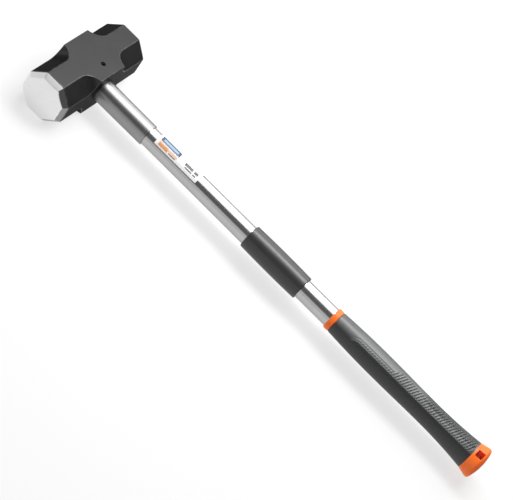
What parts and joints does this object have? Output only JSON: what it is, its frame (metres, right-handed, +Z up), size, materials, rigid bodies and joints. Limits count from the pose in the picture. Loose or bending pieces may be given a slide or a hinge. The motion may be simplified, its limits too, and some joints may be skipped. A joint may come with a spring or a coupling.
{
  "type": "sledge hammer",
  "caption": "Two-handed sledge hammer: forged double-faced octagonal head on a tubular steel handle with a collar, guard sleeve, rubber grip and flared end cap.",
  "frame": {"origin": "on the lower cheek of the head, under the middle of the head, so that the hammer lies on that cheek at z = 0", "axes": "+X along the handle from the head to the grip, -Y and +Y out of the two striking faces, +Z up through the upper cheek"},
  "size_m": [0.8007, 0.1934, 0.073],
  "materials": {
    "forged_steel": "black painted forging with ground bare striking faces",
    "spring_steel": "dark oiled spring steel",
    "plug_plastic": "plain moulded",
    "tube_steel": "drawn and bright plated, satin",
    "label_print": "white film with plain colour blocks",
    "sleeve_rubber": "smooth satin",
    "grip_rubber": "satin, ribbed and cross-cut gripping panels",
    "orange_plastic": "moulded, semi-gloss"
  },
  "bodies": {
    "root": {"head": "forged_steel", "roll_pin": "spring_steel", "eye_plug": "plug_plastic", "collar": "tube_steel", "shaft_tube": "tube_steel", "wrap_label": "label_print", "centre_sleeve": "sleeve_rubber", "front_ring": "orange_plastic", "grip": "grip_rubber", "end_cap": "orange_plastic"}
  },
  "joints": []
}
